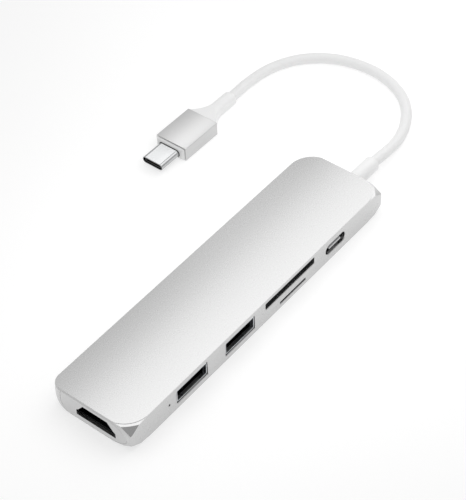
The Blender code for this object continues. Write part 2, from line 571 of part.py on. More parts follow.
def plug():
    """The plug: a sleeve with a nose in its front, the shell through the nose, and a board behind it."""
    centre = (PLUG_Y, PLUG_Z)
    bore_width, bore_height = PLUG_WIDTH - 2 * PLUG_WALL, PLUG_HEIGHT - 2 * PLUG_WALL
    tube("plug_sleeve", round_rectangle(centre, PLUG_WIDTH, PLUG_HEIGHT, 0.45 * MM, 3),
         round_rectangle(centre, bore_width, bore_height, 0.3 * MM, 3), PLUG_FRONT, PLUG_BACK, "X", ALUMINIUM)

    def section(x, width, height, radius):
        return [(x, a, b) for a, b in round_rectangle(centre, width, height, radius, 3)]

    inner_width, inner_height = bore_width - 2 * GAP, bore_height - 2 * GAP
    insert = lofted("plug_front_insert", [
        section(PLUG_FRONT + 4 * MM, inner_width, inner_height, 0.3 * MM),
        section(PLUG_FRONT - 0.1 * MM, inner_width, inner_height, 0.3 * MM),
        section(PLUG_FRONT - 0.1 * MM, PLUG_WIDTH - 1.0 * MM, PLUG_HEIGHT - 1.0 * MM, 0.5 * MM),
        section(PLUG_FRONT - 0.35 * MM, PLUG_WIDTH - 1.1 * MM, PLUG_HEIGHT - 1.1 * MM, 0.6 * MM),
        section(PLUG_FRONT - 0.75 * NOSE, PLUG_WIDTH - 1.9 * MM, PLUG_HEIGHT - 1.6 * MM, 0.7 * MM),
        section(PLUG_FRONT - NOSE, PLUG_WIDTH - 3.2 * MM, PLUG_HEIGHT - 2.2 * MM, 0.8 * MM)], GREY)
    width, height, depth = PLUG_SHELL
    hole = round_rectangle(centre, width + 2 * 0.15 * MM, height + 2 * 0.15 * MM, 0.49 * (height + 0.3 * MM), 6)
    cut(insert, extruded("plug_nose_hole", hole, PLUG_FRONT - 2 * MM, PLUG_FRONT + 5 * MM, "X", GREY))

    tip = PLUG_SHELL_TIP
    tube("plug_shell", round_rectangle(centre, width, height, 0.49 * height, 6),
         round_rectangle(centre, width - 0.5 * MM, height - 0.5 * MM, 0.49 * (height - 0.5 * MM), 6),
         tip, tip + depth, "X", STEEL)
    carrier = box("plug_contact_carrier", (tip + 0.4 * MM, PLUG_Y - 3.4 * MM, PLUG_Z - 0.7 * MM),
                  (tip + depth - 0.2 * MM, PLUG_Y + 3.4 * MM, PLUG_Z + 0.7 * MM), BLACK)
    cut(carrier, box("plug_contact_slot", (tip - MM, PLUG_Y - 3.05 * MM, PLUG_Z - 0.38 * MM),
                     (tip + 5.5 * MM, PLUG_Y + 3.05 * MM, PLUG_Z + 0.38 * MM), BLACK))

    card_front = PLUG_FRONT + 4 * MM + GAP
    card_back = PLUG_BACK - 2.6 * MM
    box("plug_paddle_card", (card_front, PLUG_Y - 4.6 * MM, PLUG_Z - 0.4 * MM),
        (card_back, PLUG_Y + 4.6 * MM, PLUG_Z + 0.4 * MM), BOARD)
    box("plug_marker_chip", (card_front + 3 * MM, PLUG_Y - 1.3 * MM, PLUG_Z + 0.4 * MM + 0.2 * MM),
        (card_front + 5.6 * MM, PLUG_Y + 1.3 * MM, PLUG_Z + 1.3 * MM), CHIP)

    rings = [section(PLUG_BACK - 2.2 * MM, inner_width, inner_height, 0.3 * MM),
             section(PLUG_BACK + 0.15 * MM, inner_width, inner_height, 0.3 * MM)]
    flare_start = PLUG_BACK + 0.15 * MM
    for i in range(9):
        t = i / 8
        half_width = COLLAR_RADIUS - 0.1 * MM + (PLUG_WIDTH / 2 - 2.95 * MM) * (1 - t) ** 2
        half_height = 2.45 * MM + 0.2 * MM * t
        radius = min(half_height, 0.6 * MM + 2.2 * MM * t) * 0.98
        rings.append(section(flare_start + BOOT_FLARE * t, 2 * half_width, 2 * half_height, radius))
    end_radius = 2.65 * MM
    for x, radius in arc((BOOT_END - 0.9 * MM, end_radius - 0.9 * MM), 0.9 * MM, 90, 0, 3):
        rings.append(section(x, 2 * radius, 2 * radius, 0.98 * radius))
    lofted("plug_boot", rings, WHITE)


def main():
    for existing in list(bpy.data.objects):
        bpy.data.objects.remove(existing)
    top_shell()
    lid_and_plates()
    main_pcb()
    screws()
    chips()
    for number, x in enumerate(USB_A_X, 1):
        usb_a_socket(number, x)
    usb_c_socket()
    hdmi_socket()
    sd_socket()
    micro_sd_socket()
    hub_strain_relief()
    cord()
    plug()


main()
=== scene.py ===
"""A slim USB hub in bead-blasted aluminium, with its captive white cable and plug.

The frame is the CAD model's: metres, +Z up, the origin in the middle of the body's underside, +X towards the
cable end, -Y the side with the ports. Each detailed piece stands where its CAD node is.
"""
import json
import math

import bmesh
import bpy
from mathutils import Matrix, Vector

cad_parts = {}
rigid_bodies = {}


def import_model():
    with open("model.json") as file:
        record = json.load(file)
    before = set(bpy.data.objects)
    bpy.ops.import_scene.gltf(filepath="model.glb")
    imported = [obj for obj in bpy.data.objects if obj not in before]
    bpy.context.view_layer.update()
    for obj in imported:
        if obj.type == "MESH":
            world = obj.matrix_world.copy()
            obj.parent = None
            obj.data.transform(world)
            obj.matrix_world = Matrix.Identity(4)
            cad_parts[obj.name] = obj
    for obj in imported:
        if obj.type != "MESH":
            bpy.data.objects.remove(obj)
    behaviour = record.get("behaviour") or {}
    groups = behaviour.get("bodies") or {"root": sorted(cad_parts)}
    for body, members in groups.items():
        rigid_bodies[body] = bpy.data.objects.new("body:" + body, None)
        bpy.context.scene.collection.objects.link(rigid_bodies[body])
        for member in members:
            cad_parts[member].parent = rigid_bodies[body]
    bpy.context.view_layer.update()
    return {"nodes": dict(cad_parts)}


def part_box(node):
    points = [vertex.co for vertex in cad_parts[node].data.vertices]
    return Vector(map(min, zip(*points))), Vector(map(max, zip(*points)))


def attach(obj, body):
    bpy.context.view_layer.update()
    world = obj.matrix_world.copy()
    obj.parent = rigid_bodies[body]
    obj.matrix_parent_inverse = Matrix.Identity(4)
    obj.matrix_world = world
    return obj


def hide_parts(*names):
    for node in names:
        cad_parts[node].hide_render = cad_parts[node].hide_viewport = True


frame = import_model()
NODES = frame["nodes"]
HUB = "hub"
MM = 0.001

# ---- camera: the place and the axes of the view, and the lens
CAMERA_PLACE = (-0.25296, -0.21905, 0.36271)
CAMERA_RIGHT = Vector((0.62136, -0.78280, -0.03374))
CAMERA_FORWARD = Vector((0.53353, 0.45426, -0.71344))
CAMERA_LENS = 115.0

camera_data = bpy.data.cameras.new("camera")
camera_data.lens = CAMERA_LENS
camera_data.sensor_width = 36.0
camera_data.clip_start, camera_data.clip_end = 0.01, 20.0
camera = bpy.data.objects.new("camera", camera_data)
bpy.context.scene.collection.objects.link(camera)
up = CAMERA_RIGHT.cross(CAMERA_FORWARD)
axes = Matrix((CAMERA_RIGHT, up, -CAMERA_FORWARD)).transposed().to_4x4()
camera.matrix_world = Matrix.Translation(CAMERA_PLACE) @ axes
bpy.context.scene.camera = camera


# ---- materials
def link(tree, start, end):
    tree.links.new(start, end)


def mapped_noise(tree, scale, detail=2.0, stretch=(1, 1, 1)):
    """A noise in the object's own metres, finer across than along where it is stretched."""
    place = tree.nodes.new("ShaderNodeTexCoord")
    mapping = tree.nodes.new("ShaderNodeMapping")
    mapping.inputs["Scale"].default_value = stretch
    noise = tree.nodes.new("ShaderNodeTexNoise")
    noise.inputs["Scale"].default_value = scale
    noise.inputs["Detail"].default_value = detail
    link(tree, place.outputs["Object"], mapping.inputs["Vector"])
    link(tree, mapping.outputs["Vector"], noise.inputs["Vector"])
    return noise.outputs["Fac"]


def remap(tree, value, low, high, source=(0.3, 0.7)):
    node = tree.nodes.new("ShaderNodeMapRange")
    node.inputs["From Min"].default_value, node.inputs["From Max"].default_value = source
    node.inputs["To Min"].default_value, node.inputs["To Max"].default_value = low, high
    link(tree, value, node.inputs["Value"])
    return node.outputs["Result"]


def blend_colours(tree, factor, first, second):
    node = tree.nodes.new("ShaderNodeMix")
    node.data_type = "RGBA"
    node.inputs["A"].default_value, node.inputs["B"].default_value = (*first, 1), (*second, 1)
    link(tree, factor, node.inputs["Factor"])
    return node.outputs["Result"]


def finish(name, colour, roughness, metallic=0.0, grain=3000, bump=0.15, depth=0.02, tone=0.04, spread=0.06,
           stretch=(1, 1, 1), coat=0.0, second=None, blotch=7):
    """A surface with a fine grain in its relief and tone, and one that many times coarser in its roughness."""
    made = bpy.data.materials.new(name)
    made.use_nodes = True
    tree = made.node_tree
    shader = tree.nodes["Principled BSDF"]
    fine = mapped_noise(tree, grain, 3.0, stretch)
    coarse = mapped_noise(tree, grain / blotch, 2.0, stretch)
    darker = tuple(c * (1 - tone) for c in colour)
    lighter = tuple(min(1.0, c * (1 + tone)) for c in (second or colour))
    link(tree, blend_colours(tree, remap(tree, fine, 0, 1), darker, lighter), shader.inputs["Base Color"])
    link(tree, remap(tree, coarse, max(0.03, roughness - spread), roughness + spread), shader.inputs["Roughness"])
    relief = tree.nodes.new("ShaderNodeBump")
    relief.inputs["Strength"].default_value = bump
    relief.inputs["Distance"].default_value = depth * MM
    link(tree, fine, relief.inputs["Height"])
    link(tree, relief.outputs["Normal"], shader.inputs["Normal"])
    shader.inputs["Metallic"].default_value = metallic
    shader.inputs["Coat Weight"].default_value = coat
    return made


def cells(made, scale, line, colour):
    """Lays a fine pattern of lines, the edges of cells, over a finish's colour."""
    tree = made.node_tree
    shader = tree.nodes["Principled BSDF"]
    place = tree.nodes.new("ShaderNodeTexCoord")
    pattern = tree.nodes.new("ShaderNodeTexVoronoi")
    pattern.feature, pattern.distance = "DISTANCE_TO_EDGE", "EUCLIDEAN"
    pattern.inputs["Scale"].default_value = scale
    pattern.inputs["Randomness"].default_value = 0.35
    link(tree, place.outputs["Object"], pattern.inputs["Vector"])
    under = shader.inputs["Base Color"].links[0].from_socket
    mix = tree.nodes.new("ShaderNodeMix")
    mix.data_type = "RGBA"
    mix.inputs["A"].default_value = (*colour, 1)
    link(tree, under, mix.inputs["B"])
    link(tree, remap(tree, pattern.outputs["Distance"], 0, 1, (line, line + 0.02)), mix.inputs["Factor"])
    link(tree, mix.outputs["Result"], shader.inputs["Base Color"])
    return made


BODY_ALUMINIUM = finish("bead_blasted_aluminium", (0.60, 0.60, 0.60), 0.27, 1.0, grain=2600, bump=0.0072,
                        depth=0.008, tone=0.0041, spread=0.0051, blotch=2)
PLATE_ALUMINIUM = finish("fine_blasted_plate", (0.60, 0.60, 0.60), 0.30, 1.0, grain=4200, bump=0.25, depth=0.01,
                         tone=0.02, spread=0.02, blotch=3)
SLEEVE_ALUMINIUM = finish("blasted_plug_sleeve", (0.60, 0.60, 0.60), 0.30, 1.0, grain=2800, bump=0.007,
                          depth=0.008, tone=0.005, spread=0.005, blotch=2)
PLUG_STEEL = finish("polished_plug_steel", (0.50, 0.505, 0.51), 0.14, 1.0, grain=1800, bump=0.06, depth=0.01,
                    tone=0.01, spread=0.03, stretch=(0.1, 1, 1))
SHEET_STEEL = finish("plated_sheet_steel", (0.62, 0.64, 0.66), 0.28, 1.0, grain=2200, bump=0.12, depth=0.01,
                     tone=0.03, stretch=(1, 0.12, 1))
# Painted shade: the steel inside the sockets is made almost black, to stand for the shade deep in them.
SOCKET_SHADE_STEEL = finish("steel_darkened_as_socket_shade", (0.045, 0.05, 0.055), 0.34, 1.0, grain=2200, bump=0.12, depth=0.01,
                    tone=0.1, stretch=(1, 0.12, 1))
SCREW_STEEL = finish("zinc_plated_screw", (0.60, 0.61, 0.62), 0.32, 1.0, grain=5000, bump=0.2, depth=0.01, tone=0.06)
SPRING_STEEL = finish("spring_wire", (0.66, 0.66, 0.68), 0.22, 1.0, grain=1500, bump=0.3, depth=0.02, tone=0.02,
                      stretch=(1, 6, 1))
GOLD = finish("gold_plated_contact", (0.86, 0.62, 0.26), 0.24, 1.0, grain=3500, bump=0.1, depth=0.005, tone=0.05)
CARD_GREY = finish("charcoal_card_frame", (0.11, 0.115, 0.12), 0.45, grain=3600, bump=0.25, depth=0.01, tone=0.1)
BLACK = finish("black_moulded_plastic", (0.012, 0.013, 0.014), 0.42, grain=3600, bump=0.25, depth=0.01, tone=0.2)
TONGUE_GREY = finish("grey_tongue_plastic", (0.55, 0.55, 0.56), 0.45, grain=3600, bump=0.2, depth=0.01, tone=0.08)
NOSE_GREY = finish("grey_nose_plastic", (0.76, 0.76, 0.76), 0.38, grain=3800, bump=0.2, depth=0.008, tone=0.03)
CORE_GREY = finish("ferrite_grey", (0.16, 0.16, 0.17), 0.7, grain=2500, bump=0.5, depth=0.03, tone=0.15)
CABLE_WHITE = finish("white_cable_jacket", (0.79, 0.79, 0.79), 0.42, grain=2200, bump=0.25, depth=0.01,
                     tone=0.012)
MOULD_WHITE = finish("white_moulded_boot", (0.82, 0.82, 0.82), 0.38, grain=2800, bump=0.22, depth=0.01,
                     tone=0.012)
LATCH_WHITE = finish("white_latch_plastic", (0.74, 0.74, 0.72), 0.4, grain=3000, bump=0.2, depth=0.01, tone=0.03)
BOARD = cells(finish("solder_masked_board", (0.008, 0.018, 0.014), 0.34, grain=1800, bump=0.25, depth=0.02,
                     tone=0.2, coat=0.3), 620, 0.06, (0.02, 0.045, 0.032))
CHIP = finish("moulded_chip_package", (0.018, 0.018, 0.019), 0.6, grain=4500, bump=0.5, depth=0.015, tone=0.2)
PAD = finish("soft_thermal_pad", (0.30, 0.40, 0.55), 0.85, grain=1300, bump=0.6, depth=0.05, tone=0.1)
CLEAR = finish("clear_light_pipe", (0.80, 0.84, 0.86), 0.12, grain=900, bump=0.1, depth=0.02, tone=0.02, coat=0.4)
CAN = finish("metal_crystal_can", (0.58, 0.57, 0.54), 0.3, 1.0, grain=1600, bump=0.2, depth=0.01, tone=0.04,
             stretch=(0.1, 1, 1))
WIRES = cells(finish("insulated_wires", (0.55, 0.08, 0.06), 0.5, grain=1400, bump=0.3, depth=0.03, tone=0.1,
                     second=(0.12, 0.30, 0.12)), 900, 0.05, (0.7, 0.7, 0.7))
LAMP = finish("led_package", (0.78, 0.76, 0.60), 0.4, grain=2400, bump=0.2, depth=0.01, tone=0.05)

# Every CAD node that stays in view or inside takes one of these.
for node_names, made in (
        (("main_pcb", "plug_paddle_card"), BOARD),
        (("hub_controller_chip", "video_converter_chip", "power_delivery_chip", "card_reader_chip",
          "plug_marker_chip"), CHIP),
        (("pcb_screw_1", "pcb_screw_2", "pcb_screw_3", "pcb_screw_4"), SCREW_STEEL),
        (("sd_socket_cover", "micro_sd_cover"), SHEET_STEEL),
        # The socket shells take the steel that is darkened as painted shade.
        (("usb_c_shell", "usb_a_shell_1", "usb_a_shell_2", "hdmi_shell"), SOCKET_SHADE_STEEL),
        (("usb_a_tongue_1", "usb_a_tongue_2", "hdmi_tongue", "micro_sd_frame", "plug_contact_carrier",
          "bulk_capacitor"), BLACK),
        (("sd_socket_frame",), CARD_GREY),
        (("usb_c_tongue",), TONGUE_GREY),
        (("power_inductor_1", "power_inductor_2"), CORE_GREY),
        (("micro_sd_slider",), LATCH_WHITE),
        (("micro_sd_spring",), SPRING_STEEL),
        (("crystal_oscillator",), CAN),
        (("power_led",), LAMP),
        (("thermal_pad",), PAD),
        (("led_light_pipe",), CLEAR),
        (("cable_wire_bundle",), WIRES)):
    for node_name in node_names:
        for material_slot in NODES[node_name].material_slots:
            material_slot.material = made


# ---- outlines, as lists of two coordinates, anticlockwise
def arc(centre, radius, start, end, steps):
    return [(centre[0] + radius * math.cos(math.radians(start + (end - start) * i / steps)),
             centre[1] + radius * math.sin(math.radians(start + (end - start) * i / steps)))
            for i in range(steps + 1)]


def circle(centre, radius, steps):
    return arc(centre, radius, 0, 360 - 360 / steps, steps - 1)


def round_rectangle(centre, width, height, radius, steps=6):
    a, b = centre
    dx, dy = width / 2 - radius, height / 2 - radius
    outline = []
    for sign_x, sign_y, start in ((1, 1, 0), (-1, 1, 90), (-1, -1, 180), (1, -1, 270)):
        outline += arc((a + sign_x * dx, b + sign_y * dy), radius, start, start + 90, steps)
    return [p for i, p in enumerate(outline) if math.dist(p, outline[i - 1]) > 1e-7]


# ---- solids
def mesh_object(name, vertices, faces, made):
    mesh = bpy.data.meshes.new(name)
    mesh.from_pydata([Vector(v) for v in vertices], [], faces)
    work = bmesh.new()
    work.from_mesh(mesh)
    bmesh.ops.recalc_face_normals(work, faces=work.faces)
    work.to_mesh(mesh)
    work.free()
    mesh.materials.append(made)
    result = bpy.data.objects.new(name, mesh)
    bpy.context.scene.collection.objects.link(result)
    return result


def lofted(name, rings, made):
    count = len(rings[0])
    vertices = [v for ring in rings for v in ring]
    faces = [[count * r + i, count * r + (i + 1) % count, count * (r + 1) + (i + 1) % count, count * (r + 1) + i]
             for r in range(len(rings) - 1) for i in range(count)]
    faces.append(list(range(count))[::-1])
    faces.append(list(range(count * (len(rings) - 1), count * len(rings))))
    return mesh_object(name, vertices, faces, made)


PLACE = {"X": lambda along, a, b: (along, a, b),
         "Y": lambda along, a, b: (a, along, b),
         "Z": lambda along, a, b: (a, b, along)}


def extruded(name, outline, start, end, axis, made):
    place = PLACE[axis]
    return lofted(name, [[place(along, a, b) for a, b in outline] for along in (start, end)], made)


def carved(target, tools, joined=(), joining="UNION"):
    """Joins some solids on, cuts the tools out, and leaves one plain mesh."""
    for operation, group in ((joining, joined), ("DIFFERENCE", tools)):
        for tool in group:
            modifier = target.modifiers.new(tool.name, "BOOLEAN")
            modifier.operation, modifier.object, modifier.solver = operation, tool, "EXACT"
    bpy.context.view_layer.update()
    whole = target.evaluated_get(bpy.context.evaluated_depsgraph_get())
    mesh = bpy.data.meshes.new_from_object(whole)
    target.modifiers.clear()
    target.data = mesh
    for tool in (*tools, *joined):
        bpy.data.objects.remove(tool)
    return target


def softened(piece, width, segments=2, angle=32, smooth=38):
    """Small bevels on the sharp edges, and smooth shading on the rest."""
    work = bmesh.new()
    work.from_mesh(piece.data)
    bmesh.ops.remove_doubles(work, verts=work.verts, dist=2e-6)
    bmesh.ops.dissolve_degenerate(work, edges=work.edges, dist=2e-6)
    work.to_mesh(piece.data)
    work.free()
    bevel = piece.modifiers.new("edges", "BEVEL")
    bevel.width, bevel.segments = width, segments
    bevel.limit_method, bevel.angle_limit = "ANGLE", math.radians(angle)
    bevel.harden_normals = True
    piece.data.shade_smooth()
    piece.data.set_sharp_from_angle(angle=math.radians(smooth))
    return piece


def placed(piece, slot_name, *nodes):
    """The piece moves with the hub and stands for its CAD nodes, which it hides; the slot's name is not used."""
    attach(piece, HUB)
    if nodes:
        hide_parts(*nodes)
    return piece


def ribbons(name, centres, path, width, thickness, axis, made):
    """Equal strips side by side, each bent along a path of (along, height) points."""
    vertices, faces = [], []
    for centre in centres:
        base = len(vertices)
        for along, height in path:
            for side, lift in ((-1, -1), (1, -1), (1, 1), (-1, 1)):
                across = centre + side * width / 2
                level = height + lift * thickness / 2
                vertices.append((across, along, level) if axis == "Y" else (along, across, level))
        for i in range(len(path) - 1):
            for j in range(4):
                k = (j + 1) % 4
                faces.append([base + 4 * i + j, base + 4 * i + k, base + 4 * (i + 1) + k, base + 4 * (i + 1) + j])
        faces.append([base + 3, base + 2, base + 1, base])
        last = base + 4 * (len(path) - 1)
        faces.append([last, last + 1, last + 2, last + 3])
    strip = mesh_object(name, vertices, faces, made)
    return softened(strip, min(width, thickness) * 0.2, 1)


# ---- the cord, from the hub's collar round to the plug's boot
CORD_RADIUS = 1.9 * MM
ROUTE = [(x * MM, y * MM, z * MM) for x, y, z in (
    (74.6, -3.15, 4.6), (78.3, -3.2, 4.3), (82.4, -3.05, 3.65), (86.4, -2.7, 3.0), (90.4, -2.05, 2.4),
    (94.3, -0.95, 2.05), (98.3, 0.5, 1.92), (104.7, 4.2, 1.91), (110.5, 10.1, 1.91), (114.5, 18.25, 1.91),
    (116.0, 27.35, 1.91), (114.7, 37.15, 1.91), (110.6, 45.6, 1.91), (103.7, 52.4, 1.91), (94.8, 56.4, 1.92),
    (85.0, 57.6, 2.05), (79.4, 57.4, 2.35), (74.6, 57.0, 2.7))]
CORD_IN = 1.2 * MM                 # how far each end of the jacket reaches into its collar


def smooth_route(points, step):
    """Evenly spaced points on a smooth curve through the given ones."""
    fine = []
    padded = [2 * Vector(points[0]) - Vector(points[1])] + [Vector(p) for p in points]
    padded.append(2 * padded[-1] - padded[-2])
    for a, b, c, d in zip(padded, padded[1:], padded[2:], padded[3:]):
        for i in range(24):
            t = i / 24
            fine.append(0.5 * (2 * b + (c - a) * t + (2 * a - 5 * b + 4 * c - d) * t ** 2
                               + (3 * b - a - 3 * c + d) * t ** 3))
    fine.append(padded[-2])
    lengths = [0.0]
    for a, b in zip(fine, fine[1:]):
        lengths.append(lengths[-1] + (b - a).length)
    count = round(lengths[-1] / step)
    route, place = [], 0
    for i in range(count + 1):
        wanted = lengths[-1] * i / count
        while place < len(fine) - 2 and lengths[place + 1] < wanted:
            place += 1
        part = (wanted - lengths[place]) / (lengths[place + 1] - lengths[place])
        route.append(fine[place].lerp(fine[place + 1], part))
    return route


def cord():
    ends = [(ROUTE[0][0] - CORD_IN, *ROUTE[0][1:])] + ROUTE + [(ROUTE[-1][0] - CORD_IN, *ROUTE[-1][1:])]
    route = smooth_route(ends, 1.3 * MM)
    curve = bpy.data.curves.new("cable_jacket", "CURVE")
    curve.dimensions = "3D"
    curve.bevel_depth = CORD_RADIUS
    curve.bevel_resolution = 7
    curve.use_fill_caps = True
    spline = curve.splines.new("POLY")
    spline.points.add(len(route) - 1)
    for point, place in zip(spline.points, route):
        point.co = (*place, 1.0)
    spline.use_smooth = True
    curve.materials.append(CABLE_WHITE)
    made = bpy.data.objects.new("cable_jacket", curve)
    bpy.context.scene.collection.objects.link(made)
    length = sum((b - a).length for a, b in zip(route, route[1:]))
    return made, length


jacket, cord_length = cord()
placed(jacket, "white_cable", "cord")

# ---- the body
BODY_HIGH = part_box("top_shell")[1]
HALF_LENGTH = BODY_HIGH[0]
HALF_WIDTH = BODY_HIGH[1]
BODY_HEIGHT = BODY_HIGH[2]
MID_HEIGHT = BODY_HEIGHT / 2
SIDE_WALL = 1.2 * MM
ROOF = 1.0 * MM
END_WALL = 3.2 * MM
# ---- corners, as distances from the square corner. At the port side the upright edge is round, and a facet
# cuts each corner off above and below: it starts at a point and widens to its edge, close under the top face.
CORNER_RADIUS = 8.5 * MM           # of the top and bottom outlines, at the port side
UPRIGHT_RADIUS = 1.3 * MM
FACET_POINT, FACET_EDGE = 2.15 * MM, 4.4 * MM      # heights from the middle
FACET_START, FACET_REACH = 0.75 * MM, 4.7 * MM
FACET_BULGE = 0.1                  # the bow of the facet's wide edge, as a part of its reach
# At the back the corners are upright: the radius half-way up and at the top, and how much further the
# underside reaches in along X and along Y. The end away from the cable is the squarer one.
BACK_CORNERS = {-1: (3.2 * MM, 4.0 * MM, 1.2 * MM, 6.0 * MM), 1: (7.5 * MM, 8.5 * MM, 1.0 * MM, 2.0 * MM)}
END_TIP, END_REACH = 0.8 * MM, 7.6 * MM            # the lens-shaped side of the end plates
CORNER_STEPS = 14
FILLET_STEPS = 6
LID_SEAT = 1.1 * MM
LID_INSET = 2.2 * MM
LID_RADIUS = 6.5 * MM
PLATE_DEPTH = 1.0 * MM
PLATE_RIM = 0.53 * MM
PLATE_GAP = 0.15 * MM
PLATE_SEAM = 0.05 * MM
EDGE = 0.07 * MM
CHAMFER_OUTWARD = 9.0 * MM         # how far the block that trims the ends reaches past the body, at its foot
CHAMFER_BEYOND = 0.35 * MM         # how far the bevel runs on past the body's outline

PCB_TOP = 4.0 * MM
GAP = 0.3 * MM
LED_X, LED_Z, LED_HOLE = -45.0 * MM, 4.6 * MM, 0.8 * MM
USB_A_X, USB_A_Z = (-34.5 * MM, -12.0 * MM), 4.65 * MM
USB_A_CUT = (14.2 * MM, 5.4 * MM)
SD_X, SD_Z, SD_CUT = 12.8 * MM, 6.37 * MM, (24.8 * MM, 2.6 * MM)
MICRO_X, MICRO_Z, MICRO_CUT = 14.05 * MM, 2.05 * MM, (13.1 * MM, 0.95 * MM)
USB_C_X, USB_C_Z, USB_C_CUT = 36.3 * MM, 4.7 * MM, (10.3 * MM, 3.9 * MM)
HDMI_Y, HDMI_BOTTOM, HDMI_CUT = -2.05 * MM, 2.4 * MM, (15.0 * MM, 5.2 * MM)
CABLE_Y, CABLE_Z = -3.15 * MM, 4.6 * MM
SOCKET_FRONT = -HALF_WIDTH + SIDE_WALL + GAP
BOSSES = ((-23.05 * MM, -9.3 * MM), (-37.5 * MM, 10.6 * MM), (30.0 * MM, 10.6 * MM), (51.0 * MM, -9.3 * MM))


def rise(z):
    """How far a height is from the middle, on a curve that is flat in the middle and steep at the end."""
    return 1 - math.sqrt(max(0.0, 1 - ((z - MID_HEIGHT) / MID_HEIGHT) ** 2))


def back_radii(z, end):
    middle, top, low_x, low_y = BACK_CORNERS[end]
    if z >= MID_HEIGHT:
        return [middle + (top - middle) * rise(z)] * 2
    return [middle + low_x * rise(z), middle + low_y * rise(z)]


def back_corner(z, end):
    """A back corner from the long side round to the end, as distances (along X, along Y) from the square one."""
    radius_x, radius_y = back_radii(z, end)
    return [(radius_x * (1 - a), radius_y * (1 - b)) for a, b in arc((0, 0), 1, 90, 0, CORNER_STEPS)]


def port_side_corner(z):
    """A port-side corner in the same terms: the round edge, or the facet where that cuts deeper."""
    height = abs(z - MID_HEIGHT)
    if height > FACET_EDGE:
        return [(CORNER_RADIUS * (1 - a), CORNER_RADIUS * (1 - b))
                for a, b in arc((0, 0), 1, 90, 0, CORNER_STEPS)]
    part = (height - FACET_POINT) / (FACET_EDGE - FACET_POINT)
    reach = FACET_START + (FACET_REACH - FACET_START) * part

    def inside(x, y):
        radius = UPRIGHT_RADIUS
        if x < 0 or y < 0 or (x < radius and y < radius and math.hypot(x - radius, y - radius) > radius):
            return False
        bow = 4 * FACET_BULGE * part * x * y / max(x + y, 1e-9) ** 2
        return part <= 0 or (x + y) / reach >= 1 - bow

    end = max(UPRIGHT_RADIUS, reach)
    points = []
    for i in range(CORNER_STEPS + 1):
        x, y = end * (1 - i / CORNER_STEPS), end * i / CORNER_STEPS
        low, high = 0.0, min(x, y)
        for _ in range(24):
            middle = (low + high) / 2
            if inside(x - middle, y - middle):
                low = middle
            else:
                high = middle
        points.append((x - low, y - low))
    return points


def body_ring(z, blend=0.0):
    """The body's outline at one height; the blend takes the port-side corners from their facet to the top."""
    ring = []
    for sign_x, sign_y in ((-1, -1), (1, -1), (1, 1), (-1, 1)):
        corner = back_corner(z, sign_x)
        if sign_y < 0:
            corner = port_side_corner(min(z, MID_HEIGHT + FACET_EDGE))
            round_corner = port_side_corner(BODY_HEIGHT)
            corner = [tuple(a + (b - a) * blend for a, b in zip(*pair)) for pair in zip(corner, round_corner)]
        points = [(sign_x * (HALF_LENGTH - a), sign_y * (HALF_WIDTH - b), z) for a, b in corner]
        ring += points if sign_x * sign_y < 0 else points[::-1]
    return ring


def body_rings():
    """Up the body: the upright walls, the facets, and a narrow bevel from each facet to the top."""
    parts = (0.08, 0.2, 0.35, 0.5, 0.65, 0.8, 0.9)
    upper = [0.0, FACET_POINT / 2] + [FACET_POINT + (FACET_EDGE - FACET_POINT) * t for t in (0, *parts, 1)]
    heights = [(height, 0.0) for height in upper]
    for step in range(1, FILLET_STEPS + 1):
        t = step / FILLET_STEPS
        heights.append((FACET_EDGE + (MID_HEIGHT - FACET_EDGE) * t * (1.35 - 0.35 * t), t))
    rings = []
    for height, blend in heights[:0:-1]:
        mirrored = body_ring(MID_HEIGHT + height, blend)
        backs = body_ring(MID_HEIGHT - height)
        count = 2 * (CORNER_STEPS + 1)
        rings.append([(x, y, MID_HEIGHT - height) for x, y, _ in mirrored[:count] + backs[count:]])
    return rings + [body_ring(MID_HEIGHT + height, blend) for height, blend in heights]


def end_outline(inset, end, steps=24):
    """The outline of an end face, set in from its edge: a lens at the port side, and upright at the back."""
    half_height = MID_HEIGHT - inset
    outline = []
    for i in range(steps + 1):
        angle = math.pi * (i / steps - 0.5)
        z = MID_HEIGHT + half_height * math.sin(angle)
        outline.append((HALF_WIDTH - back_radii(z, end)[1] - inset, z))
    for i in range(steps + 1):
        angle = math.pi * (0.5 - i / steps)
        outline.append((-(HALF_WIDTH - END_TIP - inset - END_REACH * (1 - math.cos(angle))),
                        MID_HEIGHT + half_height * math.sin(angle)))
    return outline


def hdmi_outline(centre, bottom, width, height):
    half = width / 2
    right = [(half, 0), (half, 0.38 * height), (0.89 * half, 0.5 * height), (0.76 * half, 0.74 * height),
             (0.62 * half, height)]
    return [(centre + a, bottom + b) for a, b in right + [(-a, b) for a, b in right[::-1]]]


def end_chamfers():
    """A block that trims the body's ends to a bevel, as wide as the rim round the end plates."""
    slope = (PLATE_RIM + CHAMFER_BEYOND) / PLATE_RIM
    foot = HALF_LENGTH - PLATE_RIM
    steps = ((HALF_LENGTH + MM, PLATE_RIM + slope * MM), (foot, -CHAMFER_BEYOND),
             (foot - 0.01 * MM, -CHAMFER_OUTWARD))
    rings = []
    for end, order in ((-1, steps), (1, steps[::-1])):
        for x, inset in order:
            outline = end_outline(inset, end)
            half = len(outline) // 2
            outline = [(HALF_WIDTH + CHAMFER_OUTWARD, z) for _, z in outline[:half]] + outline[half:]
            rings.append([(end * x, y, z) for y, z in outline])
    return lofted("end_chamfers", rings, BODY_ALUMINIUM)


